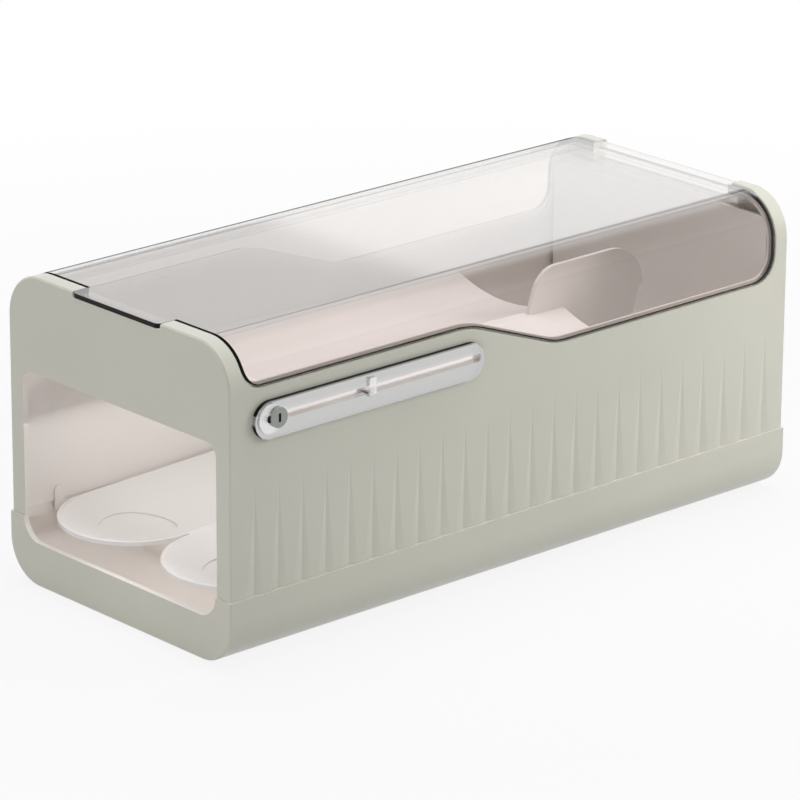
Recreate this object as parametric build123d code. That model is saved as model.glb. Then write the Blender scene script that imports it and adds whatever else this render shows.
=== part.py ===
from build123d import *
from math import asin, cos, hypot, radians, sin, sqrt, tan
import os

# Egg storage box with two rolling levels, in millimetres.
# X runs across the box and +X is the side with the date plate. The front faces -Y.
# Z is up, with Z = 0 on the surface that the feet stand on.

# Overall body
body_width = 169.0
body_length = 380.0
body_height = 163.5
wall = 2.8
shoulder_radius = 23.5
end_bevel = 0.8

# Base tub
foot_proud = 0.8
seam_height = 35.5
base_proud = 1.0
base_wall = 3.0
floor_thickness = 3.0
base_corner_radius = 22.0

# Front window
window_side_frame = 10.3
window_bottom = 23.8
window_top_frame = 50.3
window_low_radius = 12.0
window_high_radius = 7.0

# Lid and its opening
lid_thickness = 2.5
lid_end_band = 10.0
lid_front_drop = 22.3
lid_rear_drop = 43.9
lid_high_run = 145.0
lid_step_run = 59.2
lid_front_radius = 10.0
lid_step_high_radius = 50.0
lid_step_low_radius = 40.0
lid_rear_radius = 13.5
lid_gap = 0.8
lid_seat_gap = 0.3
lid_bevel = 0.8
opening_bevel = 0.5
lip_thickness = 1.4
lip_rise = 1.5
lip_root = 3.0
finger_tab_width = 66.0
finger_tab_overhang = 1.0
finger_tab_radius = 3.0
side_gap = 0.4

# Hinge
hinge_side_inset = 34.5
hinge_axis_inset = 4.6
barrel_radius = 4.4
barrel_swing_gap = 0.6
rod_radius = 1.5
rod_running_gap = 0.05
rod_seat_gap = 0.02
rod_engagement = 5.0
cheek_width = 6.0
band_swing_gap = 0.7

# Reeds on the side walls
reed_count = 25
reed_depth = 0.9
reed_fade_height = 60.0
reed_crown_clearance = 0.02

# Runways
runway_thickness = 2.0
runway_side_gap = 0.3
runway_slope = 1.8
upper_drop = 68.3
upper_front_inset = 26.0
drop_room = 82.0
upper_flange = 3.2
upper_trough_depth = 7.5
lower_rise = 27.0
lower_side_gap = 2.2
lower_rear_inset = 40.0
lower_flange = 2.7
lower_trough_depth = 9.5
dish_front_gap = 2.7
dish_gap = 1.0
dish_lip_width = 1.5
dish_lip_height = 2.0
dish_foot_radius = 16.0
seat_radius = 20.0
seat_depth = 0.8
rib_thickness = 2.0
rib_count = 4
rib_front_inset = 22.2
rib_rear_inset = 38.0
rib_side_inset = 20.5
rail_height = 2.5

# Locating lugs and snap hooks on the housing
lug_front_inset = 27.0
lug_rear_inset = 33.0
lug_length = 6.0
lug_thickness = 1.2
lug_drop = 4.5
lug_rise = 8.0
hook_front_inset = 12.0
hook_rear_inset = 22.0
hook_width = 10.0
hook_thickness = 1.2
hook_root_height = 1.5
hook_drop = 4.7
hook_nose_reach = 1.6
hook_nose_height = 2.6
hook_nose_slope = 1.2
hook_slack = 0.4

# Drop divider
divider_thickness = 2.4
divider_slot_gap = 0.1
divider_foot_length = 24.0
divider_tip_inset = 11.6
divider_rise = 28.1
divider_reach_down = 14.0
divider_tip_radius = 24.0
divider_kink = 3.0
divider_tail = 7.7
divider_heel_radius = 16.0
divider_toe_radius = 4.0
tongue_length = 10.0
tongue_inset = 6.0
tongue_depth = 3.6

# Rear guide
guide_inset = 11.0
guide_thickness = 2.0
guide_radius = 26.0
guide_top_drop = 11.5
guide_side_gap = 2.3
guide_step = 0.7
guide_rib_inset = 24.4
guide_rib_drop = 12.0
guide_rib_slope = 6.0
guide_front_gap = 1.0

# Date plate, slider and dial
plate_recess = 0.8
plate_proud = 2.7
plate_fit = 0.1
plate_front_inset = 14.0
plate_length = 148.5
plate_drop = 39.9
plate_height = 19.2
plate_bevel = 0.5
slot_front_inset = 19.5
slot_length = 126.0
slot_rise = 1.2
slot_height = 4.1
running_gap = 0.3
tab_travel = 53.8
tab_length = 4.6
tab_height = 9.6
tab_rise = 1.5
tab_thickness = 1.2
tab_radius = 0.5
stem_length = 3.4
keeper_length = 8.0
keeper_height = 10.0
keeper_thickness = 1.5
keeper_bevel = 1.0
dial_radius = 7.5
dial_inset = 8.6
dial_rise = 1.4
dial_thickness = 1.0
dial_shaft_radius = 2.9
dial_running_gap = 0.08
button_radius = 5.25
button_thickness = 1.3
button_offset = 4.1
button_bevel = 0.3
mark_length = 4.4
mark_width = 1.5
mark_depth = 0.4
hub_radius = 1.9
hub_rise = 0.5
hub_offset = 1.0
retainer_radius = 5.2

# Foot pads
foot_length = 18.0
foot_width = 10.0
foot_bevel = 2.0
foot_recess = 1.2
foot_fit = 0.1
foot_side_inset = 26.5
foot_end_inset = 25.0

# Small overlap that joins two solids of one piece
weld = 0.2

# Sizes that follow from the ones above
side = body_width / 2
end = body_length / 2
base_side = side + base_proud
base_end = end + base_proud
base_bottom = foot_proud
floor_top = base_bottom + floor_thickness
base_inner_side = base_side - base_wall
inner_side = side - wall
inner_end = end - wall
shoulder_x = side - shoulder_radius
shoulder_z = body_height - shoulder_radius
window_half_width = side - window_side_frame
window_top = body_height - window_top_frame
lid_end = end - lid_end_band
lid_step_front = -lid_end + lid_high_run
lid_step_rear = lid_step_front + lid_step_run
lip_outer = wall
lip_inner = wall + lip_thickness
hinge_y = end - hinge_axis_inset
hinge_z = body_height - hinge_axis_inset
hinge_half_width = side - hinge_side_inset
swing_radius = barrel_radius + band_swing_gap
runway_edge = inner_side - runway_side_gap
lane_centre = runway_edge / 2
upper_mid_height = body_height - upper_drop
upper_front = -end + upper_front_inset
upper_rear = end - drop_room
upper_half_chord = lane_centre - upper_flange
lower_mid_height = floor_top + lower_rise
lower_rear = end - lower_rear_inset
lower_half_chord = lane_centre - lower_flange
dish_rim = lane_centre - dish_gap / 2
lower_edge = inner_side - lower_side_gap
dish_centre = -base_end + base_wall + dish_front_gap + dish_rim
rib_front = dish_centre + rib_front_inset
rib_pitch = (lower_rear - rib_rear_inset - rib_front) / (rib_count - 1)
rib_places = [rib_front + rib_pitch * k for k in range(rib_count)]
lug_places = (-end + lug_front_inset, end - lug_rear_inset)
hook_places = (-end + hook_front_inset, 0.0, end - hook_rear_inset)
hook_bottom = seam_height - hook_drop
hook_top = seam_height + hook_root_height
guide_face = end - guide_inset
guide_half_width = inner_side - guide_side_gap
guide_top = body_height - guide_top_drop
guide_low = lower_mid_height + tan(radians(runway_slope)) * lower_rear + guide_step
plate_front = -end + plate_front_inset
plate_rear = plate_front + plate_length
plate_middle = body_height - plate_drop
plate_face = side + plate_proud
plate_seat = side - plate_recess
slot_front = plate_front + slot_front_inset
slot_rear = slot_front + slot_length
slot_middle = plate_middle + slot_rise
stem_height = slot_height - 2 * running_gap
tab_rest = slot_front + tab_travel
keeper_outer = inner_side - running_gap
keeper_inner = keeper_outer - keeper_thickness
dial_y = plate_front + dial_inset
dial_z = plate_middle + dial_rise


def slab(half_width, low, high, low_radius, high_radius):
    """Outline across the box, with one radius for its low corners and one for its high ones"""
    face = Pos(0, (low + high) / 2) * Rectangle(2 * half_width, high - low)
    if low_radius > 0:
        face = fillet(face.vertices().group_by(Axis.Y)[0], low_radius)
    if high_radius > 0:
        face = fillet(face.vertices().group_by(Axis.Y)[-1], high_radius)
    return face


def along_box(outline, front, rear):
    """Solid with an X-Z outline, from one place along Y to another"""
    plane = Plane(origin=(0, rear, 0), x_dir=(1, 0, 0), z_dir=(0, -1, 0))
    return extrude(plane * outline, rear - front)


def across_box(outline, left, right):
    """Solid with a Y-Z outline, from one place along X to another"""
    plane = Plane(origin=(left, 0, 0), x_dir=(0, 1, 0), z_dir=(1, 0, 0))
    return extrude(plane * outline, right - left)


def block(x0, x1, y0, y1, z0, z1):
    """Plain box between two corners"""
    middle = Pos((x0 + x1) / 2, (y0 + y1) / 2, (z0 + z1) / 2)
    return middle * Box(x1 - x0, y1 - y0, z1 - z0)


def rod_along_x(radius, x0, x1, y, z):
    """Round bar that lies along X"""
    circle = Pos(y, z) * Circle(radius)
    return across_box(circle, x0, x1)


def housing_slab(inset):
    """Housing's outline across the box, drawn in by an inset"""
    radius = shoulder_radius - inset
    return slab(side - inset, 0, body_height - inset, 0, radius)


def on_skin(point):
    """Whether a point lies on the housing's outer surface"""
    x = abs(point.X)
    if point.Z <= shoulder_z:
        return abs(x - side) < 0.01
    if x <= shoulder_x:
        return abs(point.Z - body_height) < 0.01
    return abs(hypot(x - shoulder_x, point.Z - shoulder_z) - shoulder_radius) < 0.01


def contour_edges(body):
    """Edges of a body where the lid's contour cuts the housing's outer surface"""
    found = []
    for edge in body.edges():
        points = [edge @ 0, edge @ 0.25, edge @ 0.5, edge @ 1]
        if not all(on_skin(p) for p in points):
            continue
        if max(abs(p.Y) for p in points) > lid_end + lid_gap + 0.01:
            continue
        middle = edge @ 0.5
        along = abs(points[0].X - points[-1].X) < 0.01 and abs(points[0].Z - points[-1].Z) < 0.01
        smooth = abs(middle.Z - shoulder_z) < 0.01 or abs(middle.Z - body_height) < 0.01
        if along and smooth:
            continue
        found.append(edge)
    return found


def lid_outline(grow):
    """Lid's outline from the side, open above the box, grown by an amount"""
    top = body_height + shoulder_radius
    front_low = body_height - lid_front_drop
    rear_low = body_height - lid_rear_drop
    corners = (
        (-lid_end, top),
        (-lid_end, front_low),
        (lid_step_front, front_low),
        (lid_step_rear, rear_low),
        (lid_end, rear_low),
        (lid_end, top),
    )
    radii = (
        lid_front_radius,
        lid_step_high_radius,
        lid_step_low_radius,
        lid_rear_radius,
    )
    face = make_face(Polyline(*corners, close=True))
    for corner, radius in zip(corners[1:5], radii):
        vertex = face.vertices().sort_by_distance(Vector(*corner))[0]
        face = fillet(vertex, radius)
    if grow != 0:
        face = offset(face, grow, kind=Kind.ARC)
    return face


def window_outline():
    return slab(window_half_width, window_bottom, window_top, window_low_radius, window_high_radius)


def bevel_ends(body, distance, height):
    """Bevel the outer edges of the front and rear faces, except the edge at a height"""
    edges = body.edges().filter_by(
        lambda e: abs(abs(e.center().Y) - distance) < 0.01 and abs(e.center().Z - height) > 0.01
    )
    return chamfer(edges, end_bevel)


def reed_cutter():
    """What is cut from the +X wall between the reeds, deepest at the seam"""
    pitch = body_length / reed_count
    tilt = asin(reed_depth / reed_fade_height)
    plane = Plane(
        origin=(side, 0, seam_height),
        x_dir=(0, 1, 0),
        z_dir=(sin(tilt), 0, cos(tilt)),
    )
    crowns = [-end + pitch * (k + 0.5) for k in range(reed_count)]
    valleys = [-end + pitch * k for k in range(1, reed_count)]
    crown = -reed_crown_clearance
    radius = ((pitch / 2) ** 2 + reed_depth ** 2) / (2 * reed_depth)
    near = crown + radius - sqrt(radius ** 2 - (pitch / 4) ** 2)
    outside = -2 * wall
    lines = [Line((crowns[0], outside), (crowns[0], crown))]
    first_mid = ((crowns[0] + valleys[0]) / 2, near)
    lines.append(ThreePointArc((crowns[0], crown), first_mid, (valleys[0], reed_depth)))
    for k in range(1, reed_count - 1):
        start = (valleys[k - 1], reed_depth)
        finish = (valleys[k], reed_depth)
        lines.append(ThreePointArc(start, (crowns[k], crown), finish))
    last_mid = ((crowns[-1] + valleys[-1]) / 2, near)
    lines.append(ThreePointArc((valleys[-1], reed_depth), last_mid, (crowns[-1], crown)))
    lines.append(Line((crowns[-1], crown), (crowns[-1], outside)))
    lines.append(Line((crowns[-1], outside), (crowns[0], outside)))
    profile = plane * make_face(lines)
    return Pos(0, 0, -reed_depth) * extrude(profile, 2 * reed_fade_height)


def plate_outline(grow):
    """Date plate's stadium outline, in Y and Z"""
    middle = (plate_front + plate_rear) / 2
    return Pos(middle, plate_middle) * SlotOverall(plate_length + 2 * grow, plate_height + 2 * grow)


def slot_outline():
    """Slot for the slider's stem, in Y and Z"""
    return Pos((slot_front + slot_rear) / 2, slot_middle) * SlotOverall(slot_length, slot_height)


def locating_lip():
    """Thin lip inside the opening that the closed lid sits over"""
    tube = along_box(housing_slab(lip_outer), -inner_end, inner_end)
    tube -= along_box(housing_slab(lip_inner), -inner_end - 1, inner_end + 1)
    ring = across_box(lid_outline(lid_gap + lip_root), -side, side)
    ring -= across_box(lid_outline(-lip_rise), -side - 1, side + 1)
    return tube & ring


def hinge_notch():
    """Room for the barrel in the rear band and the back wall"""
    half = hinge_half_width + side_gap
    low = hinge_z - barrel_radius - barrel_swing_gap
    return block(-half, half, hinge_y - swing_radius, end + 1, low, body_height + 1)


def hinge_cheeks():
    """Solid corners beside the notch that hold the rod's ends"""
    near = hinge_half_width + side_gap
    low = hinge_z - barrel_radius - barrel_swing_gap
    rear = inner_end + weld
    top = body_height - wall + weld
    right = block(near, near + cheek_width, lid_end + lid_gap, rear, low, top)
    return right + mirror(right, about=Plane.YZ)


def swing_cutter():
    """Takes the rear band's front top corner back to an arc about the hinge"""
    corner = block(-side - 1, side + 1, lid_end + lid_gap, hinge_y, hinge_z, body_height + 1)
    return corner - rod_along_x(swing_radius, -side - 2, side + 2, hinge_y, hinge_z)


def runway_frame(mid_height, direction):
    """Place of a runway's own frame: its lane surface at Y = 0, sloped along Y"""
    return Pos(0, 0, mid_height) * Rot(direction * runway_slope, 0, 0)


def trough_lines(edge, half_chord, depth, drop):
    """Upper line of both troughs across the box, lowered by a drop"""
    inner = lane_centre - half_chord
    outer = lane_centre + half_chord
    high = depth - drop
    return [
        Line((-edge, high), (-outer, high)),
        ThreePointArc((-outer, high), (-lane_centre, -drop), (-inner, high)),
        Line((-inner, high), (inner, high)),
        ThreePointArc((inner, high), (lane_centre, -drop), (outer, high)),
        Line((outer, high), (edge, high)),
    ]


def trough_sheet(edge, half_chord, depth, front, rear):
    """Two troughs side by side as one sheet, in the runway's own frame"""
    lines = trough_lines(edge, half_chord, depth, 0)
    lines += trough_lines(edge, half_chord, depth, runway_thickness)
    for x in (-edge, edge):
        lines.append(Line((x, depth), (x, depth - runway_thickness)))
    return along_box(make_face(lines), front, rear)


def above_troughs(edge, half_chord, depth, drop, front, rear):
    """Everything above the troughs' upper surface lowered by a drop, in the runway's own frame"""
    lines = trough_lines(edge, half_chord, depth, drop)
    low = depth - drop
    lines.append(Line((edge, low), (edge, body_height)))
    lines.append(Line((edge, body_height), (-edge, body_height)))
    lines.append(Line((-edge, body_height), (-edge, low)))
    return along_box(make_face(lines), front, rear)


def snap_hooks():
    """Hooks on the inside of the housing that catch in the base's side walls"""
    root = inner_side - hook_thickness
    hooks = []
    for y in hook_places:
        tongue = block(root, inner_side, y - hook_width / 2, y + hook_width / 2, hook_bottom, hook_top)
        nose_points = (
            (inner_side, hook_bottom),
            (inner_side + hook_nose_reach, hook_bottom + hook_nose_slope),
            (inner_side + hook_nose_reach, hook_bottom + hook_nose_height),
            (inner_side, hook_bottom + hook_nose_height),
        )
        nose = along_box(make_face(Polyline(*nose_points, close=True)), y - hook_width / 2, y + hook_width / 2)
        hooks.append(tongue + nose)
    right = hooks[0] + hooks[1:]
    return right + mirror(right, about=Plane.YZ)


def locating_lugs():
    """Round-topped lugs on the inside of the housing that reach down into the base"""
    inner = inner_side - lug_thickness
    low = seam_height - lug_drop
    high = seam_height + lug_rise
    lugs = []
    for y in lug_places:
        lug = block(inner, inner_side + weld, y - lug_length / 2, y + lug_length / 2, low, high)
        lugs.append(fillet(lug.edges().filter_by(Axis.X).group_by(Axis.Z)[-1], 0.48 * lug_length))
    right = lugs[0] + lugs[1:]
    return right + mirror(right, about=Plane.YZ)


def hook_pockets():
    """Slots in the base's side walls for the hooks"""
    pockets = []
    for y in hook_places:
        low = hook_bottom - hook_slack
        high = hook_bottom + hook_nose_height + hook_slack
        half = hook_width / 2 + hook_slack
        deep = inner_side + hook_nose_reach + hook_slack
        pockets.append(block(inner_side, deep, y - half, y + half, low, high))
    right = pockets[0] + pockets[1:]
    return right + mirror(right, about=Plane.YZ)


def floor_ribs():
    """Ribs across the base that carry the lower runway on their sloped tops"""
    outline = slab(base_inner_side - rib_side_inset, floor_top - weld, seam_height, 0, 0)
    width = base_inner_side + 1
    above = block(-width, width, -end, end, -runway_thickness, body_height)
    ribs = []
    for y in rib_places:
        ribs.append(along_box(outline, y - rib_thickness / 2, y + rib_thickness / 2))
    return (ribs[0] + ribs[1:]) - runway_frame(lower_mid_height, 1) * above


def make_base_tub():
    outer = slab(base_side, base_bottom, seam_height, base_corner_radius, 0)
    inner = slab(base_inner_side, floor_top, body_height, base_corner_radius - base_wall, 0)
    tub = along_box(outer, -base_end, base_end)
    tub = bevel_ends(tub, base_end, seam_height)
    tub -= along_box(inner, -base_end + base_wall, base_end - base_wall)
    tub -= along_box(window_outline(), -base_end - 1, -base_end + base_wall + 1)
    tub -= hook_pockets()
    tub += floor_ribs()
    for x, y in foot_places():
        tub -= Pos(x, y, base_bottom) * extrude(foot_outline(foot_fit), foot_recess)
    return tub


def make_upper_shell():
    outer = slab(side, seam_height, body_height, 0, shoulder_radius)
    shell = along_box(outer, -end, end)
    shell = bevel_ends(shell, end, seam_height)
    shell -= along_box(housing_slab(wall), -inner_end, inner_end)
    shell -= across_box(lid_outline(lid_gap), -side - 1, side + 1)
    shell = chamfer(contour_edges(shell), opening_bevel)
    cutter = reed_cutter()
    shell -= cutter
    shell -= mirror(cutter, about=Plane.YZ)
    shell -= along_box(window_outline(), -end - 1, -inner_end + 1)
    shell += locating_lip()
    shell += hinge_cheeks()
    shell -= swing_cutter()
    shell -= hinge_notch()
    reach = hinge_half_width + side_gap + rod_engagement
    shell -= rod_along_x(rod_radius + rod_seat_gap, -reach, reach, hinge_y, hinge_z)
    tab_half = finger_tab_width / 2 + side_gap
    tab_seat = body_height - lid_thickness - lid_seat_gap
    shell -= block(-tab_half, tab_half, -end - 1, -lid_end, tab_seat, body_height + 1)
    shell -= across_box(plate_outline(plate_fit), plate_seat, side + 1)
    shell -= across_box(slot_outline(), inner_side - 1, side + 1)
    shell -= rod_along_x(dial_shaft_radius + dial_running_gap, inner_side - 1, side + 1, dial_y, dial_z)
    shell += snap_hooks()
    shell += locating_lugs()
    return shell


def make_runway_rail(direction):
    """Sloped ledge on the housing's inner wall that carries one edge of the upper runway"""
    near = lane_centre + upper_half_chord + runway_side_gap
    high = upper_trough_depth - runway_thickness
    x0, x1 = sorted((direction * near, direction * inner_side))
    rail = block(x0, x1, upper_front, upper_rear, high - rail_height, high)
    return runway_frame(upper_mid_height, -1) * rail


def make_lid():
    skin = along_box(housing_slab(0), -lid_end, lid_end)
    skin -= along_box(housing_slab(lid_thickness), -lid_end - 1, lid_end + 1)
    lid = skin & across_box(lid_outline(0), -side - 1, side + 1)
    lid = chamfer(contour_edges(lid), lid_bevel)
    low = body_height - lid_thickness
    tab_half = finger_tab_width / 2
    tab = block(-tab_half, tab_half, -end - finger_tab_overhang, -lid_end + 2, low, body_height)
    tab = fillet(tab.edges().filter_by(Axis.Z).group_by(Axis.Y)[0], finger_tab_radius)
    strap = block(-hinge_half_width, hinge_half_width, lid_end - 2, hinge_y, low, body_height)
    barrel = rod_along_x(barrel_radius, -hinge_half_width, hinge_half_width, hinge_y, hinge_z)
    lid += tab
    lid += strap
    lid += barrel
    lid -= rod_along_x(rod_radius + rod_running_gap, -side, side, hinge_y, hinge_z)
    return lid


def make_hinge_rod():
    reach = hinge_half_width + rod_engagement
    return rod_along_x(rod_radius, -reach, reach, hinge_y, hinge_z)


def make_upper_runway():
    sheet = trough_sheet(runway_edge, upper_half_chord, upper_trough_depth, upper_front, upper_rear)
    half = divider_thickness / 2 + divider_slot_gap
    rear = upper_rear - tongue_inset + divider_slot_gap
    front = upper_rear - tongue_inset - tongue_length - divider_slot_gap
    slot = block(-half, half, front, rear, upper_mid_height - upper_trough_depth, body_height)
    return runway_frame(upper_mid_height, -1) * sheet - slot


def bowl_height(reach):
    """Height of a dish's bowl at a distance from its middle"""
    radius = (lower_half_chord ** 2 + lower_trough_depth ** 2) / (2 * lower_trough_depth)
    return radius - sqrt(radius ** 2 - reach ** 2)


def dish_section():
    """Half section of a dish with its sunk seat, from its middle out to its rim"""
    depth = lower_trough_depth
    chord = lower_half_chord
    lip = dish_rim - dish_lip_width
    low = depth - dish_lip_height
    seat_edge = bowl_height(seat_radius) - seat_depth
    seat_middle = bowl_height(seat_radius / 2) - seat_depth
    between = (seat_radius + chord) / 2
    seat = ThreePointArc((0, -seat_depth), (seat_radius / 2, seat_middle), (seat_radius, seat_edge))
    step = Line((seat_radius, seat_edge), (seat_radius, seat_edge + seat_depth))
    bowl = ThreePointArc((seat_radius, seat_edge + seat_depth), (between, bowl_height(between)), (chord, depth))
    corners = (
        (chord, depth),
        (dish_rim, depth),
        (dish_rim, low),
        (lip, low),
        (dish_foot_radius, -runway_thickness),
        (0, -runway_thickness),
        (0, -seat_depth),
    )
    return make_face([seat, step, bowl] + Polyline(*corners).edges())


def make_lower_runway():
    depth = lower_trough_depth
    chord = lower_half_chord
    runway = trough_sheet(lower_edge, chord, depth, dish_centre, lower_rear)
    sunk = above_troughs(lower_edge, chord, depth, seat_depth, dish_centre, dish_centre + seat_radius)
    for x in (-lane_centre, lane_centre):
        start = Plane(origin=(x, dish_centre, 0), x_dir=(-1, 0, 0), z_dir=(0, 1, 0))
        axis = Axis((x, dish_centre, 0), (0, 0, 1))
        runway -= sunk & Pos(x, dish_centre, 0) * Cylinder(seat_radius, body_height)
        runway += revolve(start * dish_section(), axis, 180)
    runway &= block(-lower_edge, lower_edge, -base_end, lower_rear, -depth, 2 * depth)
    return runway_frame(lower_mid_height, 1) * runway


def make_drop_divider():
    slope = tan(radians(runway_slope))
    ridge_mid = upper_mid_height + upper_trough_depth / cos(radians(runway_slope))

    def ridge(y):
        return ridge_mid - slope * y

    front = upper_rear - divider_foot_length
    neck = upper_rear + guide_front_gap
    tip = guide_face - divider_tip_inset
    tail = tip - divider_tail
    top = upper_mid_height + divider_rise
    low = upper_mid_height - divider_reach_down
    kink_z = top - divider_tip_radius
    points = (
        (front, ridge(front)),
        (neck, ridge(neck)),
        (neck, low),
        (tail, low),
        (tip - divider_kink, kink_z - divider_kink / 2),
        (tip, kink_z),
        (tip, top),
        (front + divider_heel_radius / 2, top),
    )
    face = make_face(Polyline(*points, close=True))
    rounds = (
        (points[6], 0.98 * divider_tip_radius),
        (points[7], divider_heel_radius),
        (points[3], divider_toe_radius),
    )
    for corner, radius in rounds:
        vertex = face.vertices().sort_by_distance(Vector(*corner))[0]
        face = fillet(vertex, radius)
    half = divider_thickness / 2
    rear = upper_rear - tongue_inset
    start = rear - tongue_length
    tongue = block(-half, half, start, rear, ridge(rear) - tongue_depth, ridge(start) + weld)
    return across_box(face, -half, half) + tongue


def guide_arc(radius):
    """Quarter circle about the guide's bend, from straight down to the back"""
    y = guide_face - guide_radius
    z = guide_low + guide_radius
    reach = radius * sin(radians(45))
    return ThreePointArc((y, z - radius), (y + reach, z - reach), (y + radius, z))


def make_rear_guide():
    """Curved wall behind the drop, with ribs to the back wall and the floor"""
    bend_y = guide_face - guide_radius
    bend_z = guide_low + guide_radius
    back = guide_face + guide_thickness
    under = guide_low - guide_thickness
    front = lower_rear + guide_front_gap
    sheet_lines = [
        Line((guide_face, guide_top), (guide_face, bend_z)),
        guide_arc(guide_radius),
        Line((bend_y, guide_low), (front, guide_low)),
        Line((front, guide_low), (front, under)),
        Line((front, under), (bend_y, under)),
        guide_arc(guide_radius + guide_thickness),
        Line((back, bend_z), (back, guide_top)),
        Line((back, guide_top), (guide_face, guide_top)),
    ]
    guide = across_box(make_face(sheet_lines), -guide_half_width, guide_half_width)
    guide = guide & along_box(housing_slab(lip_inner + runway_side_gap), front - 1, end)
    middle = guide_thickness / 2
    rib_top = guide_top - guide_rib_drop
    rib_lines = [
        guide_arc(guide_radius + middle),
        Line((guide_face + middle, bend_z), (guide_face + middle, rib_top)),
        Line((guide_face + middle, rib_top), (inner_end, rib_top - guide_rib_slope)),
        Line((inner_end, rib_top - guide_rib_slope), (inner_end, floor_top)),
        Line((inner_end, floor_top), (bend_y, floor_top)),
        Line((bend_y, floor_top), (bend_y, guide_low - middle)),
    ]
    rib_face = make_face(rib_lines)
    half = rib_thickness / 2
    outer_rib = guide_half_width - guide_rib_inset
    for x in (-outer_rib, 0, outer_rib):
        guide += across_box(rib_face, x - half, x + half)
    return guide


def make_date_plate():
    plate = across_box(plate_outline(0), plate_seat, plate_face)
    plate = chamfer(plate.faces().sort_by(Axis.X)[-1].edges(), plate_bevel)
    plate -= across_box(slot_outline(), plate_seat - 1, plate_face + 1)
    plate -= rod_along_x(dial_shaft_radius + dial_running_gap, plate_seat - 1, plate_face + 1, dial_y, dial_z)
    return plate


def stem_block(inner, outer):
    """The slider's stem between two places along X"""
    half_y = stem_length / 2
    half_z = stem_height / 2
    return block(inner, outer, tab_rest - half_y, tab_rest + half_y, slot_middle - half_z, slot_middle + half_z)


def make_date_slider():
    low = plate_face + running_gap
    half_y = tab_length / 2
    half_z = tab_height / 2
    middle = slot_middle + tab_rise
    tab = block(low, low + tab_thickness, tab_rest - half_y, tab_rest + half_y, middle - half_z, middle + half_z)
    tab = chamfer(tab.edges().filter_by(Axis.X), tab_radius)
    return tab + stem_block(keeper_inner, low + weld)


def make_slider_keeper():
    half_y = keeper_length / 2
    half_z = keeper_height / 2
    low = slot_middle - half_z
    keeper = block(keeper_inner, keeper_outer, tab_rest - half_y, tab_rest + half_y, low, low + keeper_height)
    keeper = chamfer(keeper.edges().filter_by(Axis.X), keeper_bevel)
    return keeper - stem_block(keeper_inner - 1, keeper_outer + 1)


def make_month_dial():
    low = plate_face + running_gap
    high = low + dial_thickness
    top = high + button_thickness
    disc = rod_along_x(dial_radius, low, high, dial_y, dial_z)
    button_y = dial_y + button_offset
    button = rod_along_x(button_radius, high - weld, top, button_y, dial_z)
    button = chamfer(button.edges().filter_by(GeomType.CIRCLE).sort_by(Axis.X)[-1], button_bevel)
    half_w = mark_width / 2
    half_l = mark_length / 2
    button -= block(top - mark_depth, top + 1, button_y - half_w, button_y + half_w, dial_z - half_l, dial_z + half_l)
    hub = rod_along_x(hub_radius, high - weld, high + hub_rise, dial_y - hub_offset, dial_z)
    shaft = rod_along_x(dial_shaft_radius, keeper_inner, low + weld, dial_y, dial_z)
    return disc + button + hub + shaft


def make_dial_retainer():
    nut = Pos(dial_y, dial_z) * RegularPolygon(retainer_radius, 6)
    ring = across_box(nut, keeper_inner, keeper_outer)
    return ring - rod_along_x(dial_shaft_radius, keeper_inner - 1, keeper_outer + 1, dial_y, dial_z)


def foot_places():
    x = side - foot_side_inset
    y = end - foot_end_inset
    return [(-x, -y), (x, -y), (-x, y), (x, y)]


def foot_outline(grow):
    """Foot pad's outline from above, with cut corners"""
    pad = Rectangle(foot_length + 2 * grow, foot_width + 2 * grow)
    return chamfer(pad.vertices(), foot_bevel)


def make_foot(place):
    height = foot_proud + foot_recess
    return Pos(*place, 0) * extrude(foot_outline(0), height)


def build_all():
    parts = {
        "base_tub": make_base_tub(),
        "upper_shell": make_upper_shell(),
        "lid": make_lid(),
        "hinge_rod": make_hinge_rod(),
        "upper_runway": make_upper_runway(),
        "runway_rail_left": make_runway_rail(-1),
        "runway_rail_right": make_runway_rail(1),
        "lower_runway": make_lower_runway(),
        "drop_divider": make_drop_divider(),
        "rear_guide": make_rear_guide(),
        "date_plate": make_date_plate(),
        "date_slider": make_date_slider(),
        "slider_keeper": make_slider_keeper(),
        "month_dial": make_month_dial(),
        "dial_retainer": make_dial_retainer(),
    }
    corners = ("front_left", "front_right", "rear_left", "rear_right")
    for corner, place in zip(corners, foot_places()):
        parts[f"foot_{corner}"] = make_foot(place)
    return parts


if __name__ == "__main__":
    os.makedirs("parts", exist_ok=True)
    for name, shape in build_all().items():
        export_step(shape, f"parts/{name}.step")
    print("hinge axis at y", hinge_y, "z", hinge_z)
    print("dial axis at y", dial_y, "z", dial_z)
    print("slider travel", slot_front - tab_rest, slot_rear - tab_rest)
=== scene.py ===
import math

import bpy
from mathutils import Matrix, Vector


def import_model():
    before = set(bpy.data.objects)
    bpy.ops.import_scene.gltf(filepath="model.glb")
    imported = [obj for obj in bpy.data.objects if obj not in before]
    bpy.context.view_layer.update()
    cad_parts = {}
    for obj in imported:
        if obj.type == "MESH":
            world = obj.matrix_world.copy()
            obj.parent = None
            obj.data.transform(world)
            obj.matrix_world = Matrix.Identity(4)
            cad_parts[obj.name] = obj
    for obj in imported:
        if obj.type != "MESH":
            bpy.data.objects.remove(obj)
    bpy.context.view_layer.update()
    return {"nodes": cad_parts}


# Camera, found from the box's edges in the photograph
CAMERA_PLACE = (1.7670, -1.6100, 0.9124)
CAMERA_YAW = 47.748
CAMERA_PITCH = 19.363
CAMERA_ROLL = 0.341
FOCAL_PIXELS = 4953.1
PICTURE_SIZE = 800
SENSOR_WIDTH = 36.0

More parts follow.
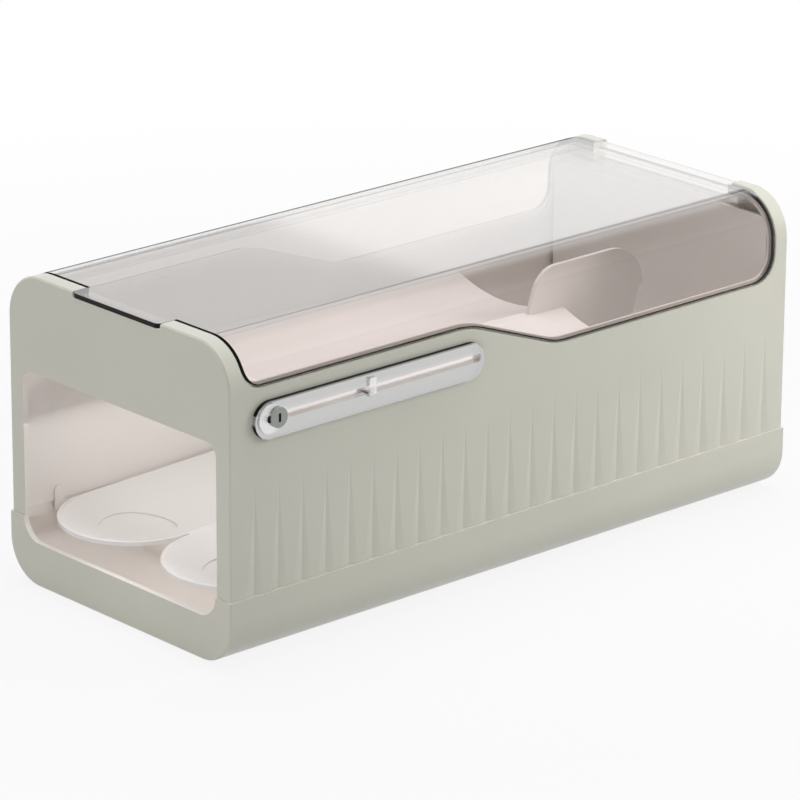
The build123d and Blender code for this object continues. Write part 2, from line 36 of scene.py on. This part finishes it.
# Outline of the housing and the base in metres, to tell outer faces from inner ones
HOUSING_SIDE = 0.0845
HOUSING_END = 0.190
HOUSING_TOP = 0.1635
SHOULDER_RADIUS = 0.0235
BASE_SIDE = 0.0855
BASE_END = 0.191
BASE_FLOOR = 0.0008
BASE_RIM = 0.0355
BASE_CORNER_RADIUS = 0.022
SKIN = 0.0013
TOLERANCE = 0.0002

# Lid: its end band, the bends beside its top and the hinge barrel, where a dark outline is painted into
# its reflections, and the front of the tab
LID_END_BAND = 0.010
LID_BEND_START = (0.061, 0.063)
LID_BEND_HEIGHT = (0.154, 0.158)
BARREL_START = (0.178, 0.180)
HINGE_HALF_WIDTH = 0.052
TAB_FRONT = -0.1885

# Date plate and its slot
PLATE_MIDDLE = 0.1236
PLATE_CENTRE = -0.10175
PLATE_HALF_STRAIGHT = 0.06
PLATE_INNER_HALF_HEIGHT = 0.006
SLOT_MIDDLE = 0.1248
SLOT_HALF_HEIGHT = 0.0024
SLOT_REAR = -0.0298

# Month dial, with its hub, its button and the button's bar mark
DIAL_Z = 0.1250
DISC_FACE = 0.0885
HUB_Y = -0.1684
HUB_RADIUS = 0.0021
BUTTON_Y = -0.1633
BUTTON_RADIUS = 0.0053
MARK_HALF_WIDTH = 0.0009
MARK_HALF_LENGTH = 0.0024

# Heights above the dial's disc between which the floor of its bar mark lies
MARK_FLOOR = (0.0008, 0.0012)

# Colours and gloss, with colours as linear values
BODY_COLOUR = (0.635, 0.624, 0.525)
# Inner faces take a lighter, pinker copy of the body plastic, in part painted light for the top light
# that glows through the thin walls
INSIDE_COLOUR = (0.88, 0.83, 0.79)
INSERT_COLOUR = (0.84, 0.82, 0.80)
# Near black painted shade and dark reflection for the lid's rim, the plate's outer wall, the tab's
# lower edge and the dial's hub, and the floor of the button's bar mark
EDGE_SHADE_COLOUR = (0.004, 0.004, 0.005)
BUTTON_COLOUR = (0.33, 0.35, 0.31)
RUBBER_COLOUR = (0.30, 0.30, 0.29)
STEEL_COLOUR = (0.55, 0.55, 0.56)
LID_TINT = (0.97, 0.948, 0.93)
TRIM_TINT = (0.95, 0.95, 0.94)
PLASTIC_IOR = 1.49
COAT_ROUGHNESS = 0.12
WHITE = (1.0, 1.0, 1.0, 1.0)

# Floor, which turns from nearly white to white between two distances from the box's middle
FLOOR_COLOUR = (0.60, 0.60, 0.60)
FLOOR_HALF_SIZE = 6.0
FLOOR_WHITE_NEAR = 0.88
FLOOR_WHITE_REACH = (0.3, 0.8)

# Colours of the lamps
COOL = (0.97, 0.98, 1.08)
PLAIN = (1.0, 1.0, 1.0)

# Lamps, each with its name, place, target, size, watts and colour
LAMPS = (
    ("top", (-0.2, 0.2, 1.9), (0, 0, 0.1), (1.4, 1.4), 29, COOL),
    ("rear_right", (0.6, 0.6, 0.45), (0.05, 0.05, 0.08), (0.35, 0.35), 3.4, PLAIN),
    ("front", (0.2, -2.2, 0.3), (0, -0.19, 0.08), (0.8, 0.5), 9.5, PLAIN),
    ("upper_level", (0, -0.092, 0.084), (0, -0.092, 0), (0.15, 0.20), 0.066, PLAIN),
    ("lower_level", (0, -0.135, 0.021), (0, -0.135, 0), (0.155, 0.10), 0.021, PLAIN),
)

# Strength of the even light from all sides
SOFT_LIGHT = 0.285

# What shows in reflections, by the sine of the height above the horizon
REFLECTED_SKY = (
    (0.00, 0.95),
    (0.29, 1.00),
    (0.31, 0.86),
    (0.41, 0.86),
    (0.42, 0.20),
    (0.44, 0.20),
    (0.45, 1.00),
    (0.60, 1.00),
    (0.72, 0.55),
    (1.00, 0.75),
)

# Line across the reflected room beyond which it is greyer, on the front left
GREY_DIRECTION = (0.666, 0.746, -3.0)
GREY_START = (-0.918, -0.902)
GREY_SHARE = 0.70


def new_material(name):
    """Empty node material with an output"""
    material = bpy.data.materials.new(name)
    material.use_nodes = True
    tree = material.node_tree
    tree.nodes.clear()
    output = tree.nodes.new("ShaderNodeOutputMaterial")
    return material, tree, output


def add_node(tree, kind, **values):
    """New node with values on its named sockets"""
    node = tree.nodes.new(kind)
    for name, value in values.items():
        node.inputs[name.replace("_", " ")].default_value = value
    return node


def map_range(tree, value, start, finish, low, high, smooth=False):
    """A value mapped from one range to another, and held at its ends"""
    spread = tree.nodes.new("ShaderNodeMapRange")
    spread.interpolation_type = "SMOOTHSTEP" if smooth else "LINEAR"
    spread.inputs["From Min"].default_value = start
    spread.inputs["From Max"].default_value = finish
    spread.inputs["To Min"].default_value = low
    spread.inputs["To Max"].default_value = high
    tree.links.new(value, spread.inputs["Value"])
    return spread.outputs["Result"]


def combine(tree, operation, first, second):
    """Two values joined by a Math node, where the second may be a number"""
    node = tree.nodes.new("ShaderNodeMath")
    node.operation = operation
    tree.links.new(first, node.inputs[0])
    if isinstance(second, float):
        node.inputs[1].default_value = second
    else:
        tree.links.new(second, node.inputs[1])
    return node.outputs["Value"]


def noise_range(tree, scale, low, high, detail=3.0):
    """Noise in the object's own space, mapped to a range"""
    place = tree.nodes.new("ShaderNodeTexCoord")
    noise = add_node(tree, "ShaderNodeTexNoise", Scale=scale, Detail=detail)
    tree.links.new(place.outputs["Object"], noise.inputs["Vector"])
    return map_range(tree, noise.outputs["Fac"], 0.3, 0.7, low, high)


def moulded_plastic(name, colour, roughness, coat, spread=0.03, grain=0.06):
    """Opaque moulded plastic with a faint cloudiness in colour and gloss, and a fine surface grain"""
    material, tree, output = new_material(name)
    shader = tree.nodes.new("ShaderNodeBsdfPrincipled")
    shader.inputs["IOR"].default_value = PLASTIC_IOR
    shader.inputs["Coat Weight"].default_value = coat
    shader.inputs["Coat Roughness"].default_value = COAT_ROUGHNESS
    shade = noise_range(tree, 9.0, 1.0 - spread, 1.0 + spread)
    tint = tree.nodes.new("ShaderNodeVectorMath")
    tint.operation = "SCALE"
    tint.inputs[0].default_value = colour
    tree.links.new(shade, tint.inputs["Scale"])
    tree.links.new(tint.outputs["Vector"], shader.inputs["Base Color"])
    gloss = noise_range(tree, 25.0, roughness - 0.02, roughness + 0.02)
    tree.links.new(gloss, shader.inputs["Roughness"])
    fine = noise_range(tree, 1800.0, 0.0, 1.0, 2.0)
    bump = tree.nodes.new("ShaderNodeBump")
    bump.inputs["Strength"].default_value = grain
    bump.inputs["Distance"].default_value = 0.0002
    tree.links.new(fine, bump.inputs["Height"])
    tree.links.new(bump.outputs["Normal"], shader.inputs["Normal"])
    tree.links.new(shader.outputs["BSDF"], output.inputs["Surface"])
    return material


def clear_plastic(name, tint, gloss_roughness, square_on, glancing, turn, painted_dark_rim=None):
    """Thin clear plastic, whose reflections grow from square-on to glancing views, with a painted dark
    outline in its reflections where a mask is given
    """
    material, tree, output = new_material(name)
    through = tree.nodes.new("ShaderNodeBsdfTransparent")
    through.inputs["Color"].default_value = (*tint, 1.0)
    gloss = tree.nodes.new("ShaderNodeBsdfGlossy")
    gloss.inputs["Color"].default_value = WHITE
    gloss.inputs["Roughness"].default_value = gloss_roughness
    weight = add_node(tree, "ShaderNodeLayerWeight", Blend=0.5)
    facing = weight.outputs["Facing"]
    share = map_range(tree, facing, *turn, square_on, glancing, True)
    if painted_dark_rim:
        glancing_share = map_range(tree, facing, 0.80, 0.93, 0.0, 1.0)
        rim = combine(tree, "MULTIPLY", painted_dark_rim(tree), glancing_share)
        share = combine(tree, "MAXIMUM", share, rim)
        # The reflection there is darkened towards black at glancing views: a painted dark outline
        light = map_range(tree, rim, 0.0, 0.7, 1.0, 0.03)
        tree.links.new(light, gloss.inputs["Color"])
    mix = tree.nodes.new("ShaderNodeMixShader")
    tree.links.new(share, mix.inputs["Fac"])
    tree.links.new(through.outputs["BSDF"], mix.inputs[1])
    tree.links.new(gloss.outputs["BSDF"], mix.inputs[2])
    tree.links.new(mix.outputs["Shader"], output.inputs["Surface"])
    return material


def painted_dark_bends(tree):
    """Part of the lid where a dark outline is painted into its reflections: the bends beside its top,
    and at half strength the barrel
    """
    place = tree.nodes.new("ShaderNodeTexCoord")
    parts = tree.nodes.new("ShaderNodeSeparateXYZ")
    tree.links.new(place.outputs["Object"], parts.inputs["Vector"])
    across = combine(tree, "ABSOLUTE", parts.outputs["X"], 0.0)
    shoulders = map_range(tree, across, *LID_BEND_START, 0.0, 1.0)
    high = map_range(tree, parts.outputs["Z"], *LID_BEND_HEIGHT, 0.0, 1.0)
    bends = combine(tree, "MULTIPLY", shoulders, high)
    barrel = map_range(tree, parts.outputs["Y"], *BARREL_START, 0.0, 0.5)
    return combine(tree, "MAXIMUM", bends, barrel)


def painted_dark_edge(name):
    """Near black painted dark reflection and shade, standing in for polished clear edges that show no
    light, with a slightly uneven gloss
    """
    material, tree, output = new_material(name)
    shader = tree.nodes.new("ShaderNodeBsdfPrincipled")
    shader.inputs["Base Color"].default_value = (*EDGE_SHADE_COLOUR, 1.0)
    shader.inputs["Specular IOR Level"].default_value = 0.15
    tree.links.new(noise_range(tree, 200.0, 0.3, 0.45), shader.inputs["Roughness"])
    tree.links.new(shader.outputs["BSDF"], output.inputs["Surface"])
    return material


def steel(name):
    """Plain steel with a slightly uneven gloss"""
    material, tree, output = new_material(name)
    shader = tree.nodes.new("ShaderNodeBsdfPrincipled")
    shader.inputs["Metallic"].default_value = 1.0
    shader.inputs["Base Color"].default_value = (*STEEL_COLOUR, 1.0)
    tree.links.new(noise_range(tree, 300.0, 0.25, 0.4), shader.inputs["Roughness"])
    tree.links.new(shader.outputs["BSDF"], output.inputs["Surface"])
    return material


def set_materials(node, *materials):
    """Replace a node's material slots"""
    slots = node.data.materials
    slots.clear()
    for material in materials:
        slots.append(material)


def paint_faces(node, index, chosen):
    """Give the polygons that a test picks the material in a slot"""
    for polygon in node.data.polygons:
        if chosen(polygon.center, polygon.normal):
            polygon.material_index = index


def across_depth(point, side, low, high, low_radius, high_radius):
    """How far a point lies inside an outline across the box with rounded corners"""
    x = abs(point.x)
    for radius, corner_z, beyond in (
        (high_radius, high - high_radius, point.z > high - high_radius),
        (low_radius, low + low_radius, point.z < low + low_radius),
    ):
        corner_x = side - radius
        if radius > 0 and beyond and x > corner_x:
            return radius - math.hypot(x - corner_x, point.z - corner_z)
    return min(side - x, high - point.z, point.z - low)


def behind_skin(across, end_depth, normal):
    """Whether a face lies behind the outer skin, or is the cut edge of an opening in an end wall"""
    return across > SKIN and (end_depth > SKIN or abs(normal.y) < 0.5)


def inside_housing(point, normal):
    """Whether a face of the housing has the lighter inner colour, which is in part painted light"""
    across = across_depth(point, HOUSING_SIDE, -1.0, HOUSING_TOP, 0.0, SHOULDER_RADIUS)
    return behind_skin(across, HOUSING_END - abs(point.y), normal)


def inside_base(point, normal):
    """Whether a face of the base has the lighter inner colour, which is in part painted light, as its
    rim's top has, where it is in part a painted highlight along the seam
    """
    across = across_depth(point, BASE_SIDE, BASE_FLOOR, 1.0, BASE_CORNER_RADIUS, 0.0)
    rim_top = point.z > BASE_RIM - TOLERANCE and normal.z > 0.9
    return rim_top or behind_skin(across, BASE_END - abs(point.y), normal)


def skin_direction(point):
    """Outward direction of the housing's skin next to a point"""
    corner_x = HOUSING_SIDE - SHOULDER_RADIUS
    corner_z = HOUSING_TOP - SHOULDER_RADIUS
    x = abs(point.x)
    if point.z <= corner_z:
        return Vector((math.copysign(1.0, point.x), 0.0, 0.0))
    if x <= corner_x:
        return Vector((0.0, 0.0, 1.0))
    return Vector((math.copysign(x - corner_x, point.x), 0.0, point.z - corner_z)).normalized()


def lid_rim(point, normal):
    """Whether a face of the lid is its bevel or cut edge, apart from the barrel and the tab's bevel;
    these faces get a near black painted dark reflection
    """
    if point.y > HOUSING_END - LID_END_BAND and abs(point.x) < HINGE_HALF_WIDTH:
        return False
    if point.y < TAB_FRONT and normal.z > 0.3:
        return False
    return abs(normal.dot(skin_direction(point))) < 0.9


def plate_edge(point, normal):
    """Whether a face of the date plate is its outer wall, away from the slot, which gets a near black
    painted dark reflection
    """
    if abs(point.z - SLOT_MIDDLE) < SLOT_HALF_HEIGHT and point.y < SLOT_REAR:
        return False
    beyond = max(0.0, abs(point.y - PLATE_CENTRE) - PLATE_HALF_STRAIGHT)
    return abs(normal.x) < 0.3 and abs(point.z - PLATE_MIDDLE) + beyond > PLATE_INNER_HALF_HEIGHT


def above_disc(point, centre_y, radius):
    """Whether a point of the dial stands on its disc within a radius of a centre"""
    return point.x > DISC_FACE + TOLERANCE and math.hypot(point.y - centre_y, point.z - DIAL_Z) < radius


def on_button(point, normal):
    """Whether a face belongs to the dial's button"""
    return above_disc(point, BUTTON_Y, BUTTON_RADIUS)


def dial_mark(point, normal):
    """Whether a face belongs to the button's bar mark or the dial's small hub, which get near black; on
    the hub it is a painted shadow and dark reflection
    """
    across = abs(point.y - BUTTON_Y)
    if across < MARK_HALF_WIDTH and abs(point.z - DIAL_Z) < MARK_HALF_LENGTH:
        return DISC_FACE + MARK_FLOOR[0] < point.x < DISC_FACE + MARK_FLOOR[1]
    return above_disc(point, HUB_Y, HUB_RADIUS) and not above_disc(point, BUTTON_Y, BUTTON_RADIUS)


def tab_underside(point, normal):
    """Whether a face of the date slider is its tab's lower edge, which gets a near black painted shadow
    """
    return normal.z < -0.7 and point.x > HOUSING_SIDE


def point_camera():
    """Camera at the photograph's place"""
    data = bpy.data.cameras.new("camera")
    data.sensor_width = SENSOR_WIDTH
    data.lens = FOCAL_PIXELS * SENSOR_WIDTH / PICTURE_SIZE
    data.clip_start = 0.05
    camera = bpy.data.objects.new("camera", data)
    bpy.context.scene.collection.objects.link(camera)
    yaw = Matrix.Rotation(math.radians(CAMERA_YAW), 4, "Z")
    pitch = Matrix.Rotation(math.radians(90 - CAMERA_PITCH), 4, "X")
    roll = Matrix.Rotation(math.radians(CAMERA_ROLL), 4, "Z")
    camera.matrix_world = Matrix.Translation(CAMERA_PLACE) @ yaw @ pitch @ roll
    bpy.context.scene.camera = camera


def area_light(name, place, target, size, watts, colour):
    """Soft box that faces a target, and that the camera and reflections don't show"""
    data = bpy.data.lights.new(name, "AREA")
    data.shape = "RECTANGLE"
    data.size, data.size_y = size
    data.energy = watts
    data.color = colour
    light = bpy.data.objects.new(name, data)
    light.location = place
    direction = Vector(target) - Vector(place)
    light.rotation_euler = direction.to_track_quat("-Z", "Y").to_euler()
    light.visible_camera = False
    light.visible_glossy = False
    bpy.context.scene.collection.objects.link(light)


def seen_directly(tree):
    """One where the camera, a reflection or a view through glass meets a surface, else zero"""
    path = tree.nodes.new("ShaderNodeLightPath")
    value = path.outputs["Is Camera Ray"]
    for name in ("Is Glossy Ray", "Is Transmission Ray"):
        value = combine(tree, "MAXIMUM", value, path.outputs[name])
    return value


def reflected_room(tree):
    """Brightness of the room in reflections: a pale sky in bands, greyer to the front left"""
    place = tree.nodes.new("ShaderNodeTexCoord")
    parts = tree.nodes.new("ShaderNodeSeparateXYZ")
    tree.links.new(place.outputs["Generated"], parts.inputs["Vector"])
    bands = tree.nodes.new("ShaderNodeValToRGB")
    stops = bands.color_ramp.elements
    while len(stops) < len(REFLECTED_SKY):
        stops.new(0.5)
    for stop, (height, light) in zip(stops, REFLECTED_SKY):
        stop.position = height
        stop.color = (light, light, light, 1.0)
    tree.links.new(parts.outputs["Z"], bands.inputs["Fac"])
    slant = tree.nodes.new("ShaderNodeVectorMath")
    slant.operation = "DOT_PRODUCT"
    tree.links.new(place.outputs["Generated"], slant.inputs[0])
    slant.inputs[1].default_value = GREY_DIRECTION
    side = map_range(tree, slant.outputs["Value"], *GREY_START, GREY_SHARE, 1.0, True)
    return combine(tree, "MULTIPLY", bands.outputs["Color"], side)


def studio_world():
    """Even pale world for light, plain white behind the box, and a pale room in reflections"""
    world = bpy.data.worlds.new("world")
    bpy.context.scene.world = world
    world.use_nodes = True
    tree = world.node_tree
    tree.nodes.clear()
    output = tree.nodes.new("ShaderNodeOutputWorld")
    soft = add_node(tree, "ShaderNodeBackground", Color=WHITE, Strength=SOFT_LIGHT)
    white = add_node(tree, "ShaderNodeBackground", Color=WHITE, Strength=1.0)
    room = add_node(tree, "ShaderNodeBackground", Strength=1.0)
    tree.links.new(reflected_room(tree), room.inputs["Color"])
    backdrop = tree.nodes.new("ShaderNodeMixShader")
    tree.links.new(seen_directly(tree), backdrop.inputs["Fac"])
    tree.links.new(soft.outputs["Background"], backdrop.inputs[1])
    tree.links.new(white.outputs["Background"], backdrop.inputs[2])
    mix = tree.nodes.new("ShaderNodeMixShader")
    path = tree.nodes.new("ShaderNodeLightPath")
    tree.links.new(path.outputs["Is Glossy Ray"], mix.inputs["Fac"])
    tree.links.new(backdrop.outputs["Shader"], mix.inputs[1])
    tree.links.new(room.outputs["Background"], mix.inputs[2])
    tree.links.new(mix.outputs["Shader"], output.inputs["Surface"])


def pale_floor():
    """Plain floor that reads white to the camera and keeps the box's shadow"""
    mesh = bpy.data.meshes.new("floor")
    size = FLOOR_HALF_SIZE
    corners = [(-size, -size, 0), (size, -size, 0), (size, size, 0), (-size, size, 0)]
    mesh.from_pydata(corners, [], [(0, 1, 2, 3)])
    floor = bpy.data.objects.new("floor", mesh)
    bpy.context.scene.collection.objects.link(floor)
    material, tree, output = new_material("floor")
    shader = tree.nodes.new("ShaderNodeBsdfDiffuse")
    shader.inputs["Color"].default_value = (*FLOOR_COLOUR, 1.0)
    white = add_node(tree, "ShaderNodeEmission", Color=WHITE, Strength=1.0)
    place = tree.nodes.new("ShaderNodeTexCoord")
    reach = tree.nodes.new("ShaderNodeVectorMath")
    reach.operation = "LENGTH"
    tree.links.new(place.outputs["Object"], reach.inputs[0])
    white_share = map_range(tree, reach.outputs["Value"], *FLOOR_WHITE_REACH, FLOOR_WHITE_NEAR, 1.0)
    share = combine(tree, "MULTIPLY", seen_directly(tree), white_share)
    mix = tree.nodes.new("ShaderNodeMixShader")
    tree.links.new(share, mix.inputs["Fac"])
    tree.links.new(shader.outputs["BSDF"], mix.inputs[1])
    tree.links.new(white.outputs["Emission"], mix.inputs[2])
    tree.links.new(mix.outputs["Shader"], output.inputs["Surface"])
    mesh.materials.append(material)


def dress(nodes):
    """Materials of all the solids, with the faces that differ painted apart"""
    body = moulded_plastic("body_plastic", BODY_COLOUR, roughness=0.32, coat=0.3)
    inside = moulded_plastic("inside_plastic", INSIDE_COLOUR, roughness=0.38, coat=0.2, spread=0.015)
    insert = moulded_plastic("insert_plastic", INSERT_COLOUR, roughness=0.30, coat=0.3, spread=0.012)
    lid_clear = clear_plastic(
        "lid_clear",
        LID_TINT,
        gloss_roughness=0.03,
        square_on=0.03,
        glancing=0.60,
        turn=(0.38, 0.74),
        painted_dark_rim=painted_dark_bends,
    )
    trim_clear = clear_plastic(
        "trim_clear",
        TRIM_TINT,
        gloss_roughness=0.06,
        square_on=0.55,
        glancing=0.95,
        turn=(0.30, 0.90),
    )
    edge = painted_dark_edge("painted_dark_edge")
    button = moulded_plastic("button_plastic", BUTTON_COLOUR, roughness=0.18, coat=0.6)
    rubber = moulded_plastic("foot_rubber", RUBBER_COLOUR, roughness=0.7, coat=0.0)
    rod = steel("rod_steel")

    set_materials(nodes["upper_shell"], body, inside)
    set_materials(nodes["base_tub"], body, inside)
    set_materials(nodes["lid"], lid_clear, edge)
    # Inner faces get the lighter inner colour, in part painted light for top light glowing through the
    # thin walls
    paint_faces(nodes["upper_shell"], 1, inside_housing)
    paint_faces(nodes["base_tub"], 1, inside_base)
    # The lid's bevel and cut edge are painted near black, a painted dark reflection of the clear edge
    paint_faces(nodes["lid"], 1, lid_rim)
    for name in ("runway_rail_left", "runway_rail_right"):
        set_materials(nodes[name], inside)
    for name in ("upper_runway", "lower_runway", "drop_divider", "rear_guide"):
        set_materials(nodes[name], insert)
    for name in ("date_plate", "date_slider", "slider_keeper", "dial_retainer"):
        set_materials(nodes[name], trim_clear, edge)
    set_materials(nodes["month_dial"], trim_clear, button, edge)
    # The plate's outer wall is painted near black, a painted dark reflection through the clear plastic
    paint_faces(nodes["date_plate"], 1, plate_edge)
    # The tab's lower edge is painted near black, a painted shadow
    paint_faces(nodes["date_slider"], 1, tab_underside)
    paint_faces(nodes["month_dial"], 1, on_button)
    # The dial's hub is painted near black, a painted shadow and dark reflection; the floor of the
    # button's bar mark is near black as well
    paint_faces(nodes["month_dial"], 2, dial_mark)
    for name in ("foot_front_left", "foot_front_right", "foot_rear_left", "foot_rear_right"):
        set_materials(nodes[name], rubber)
    set_materials(nodes["hinge_rod"], rod)


def main():
    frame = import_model()

    dress(frame["nodes"])
    point_camera()
    studio_world()
    pale_floor()
    for lamp in LAMPS:
        area_light(*lamp)
    bpy.context.scene.view_settings.view_transform = "Standard"


main()
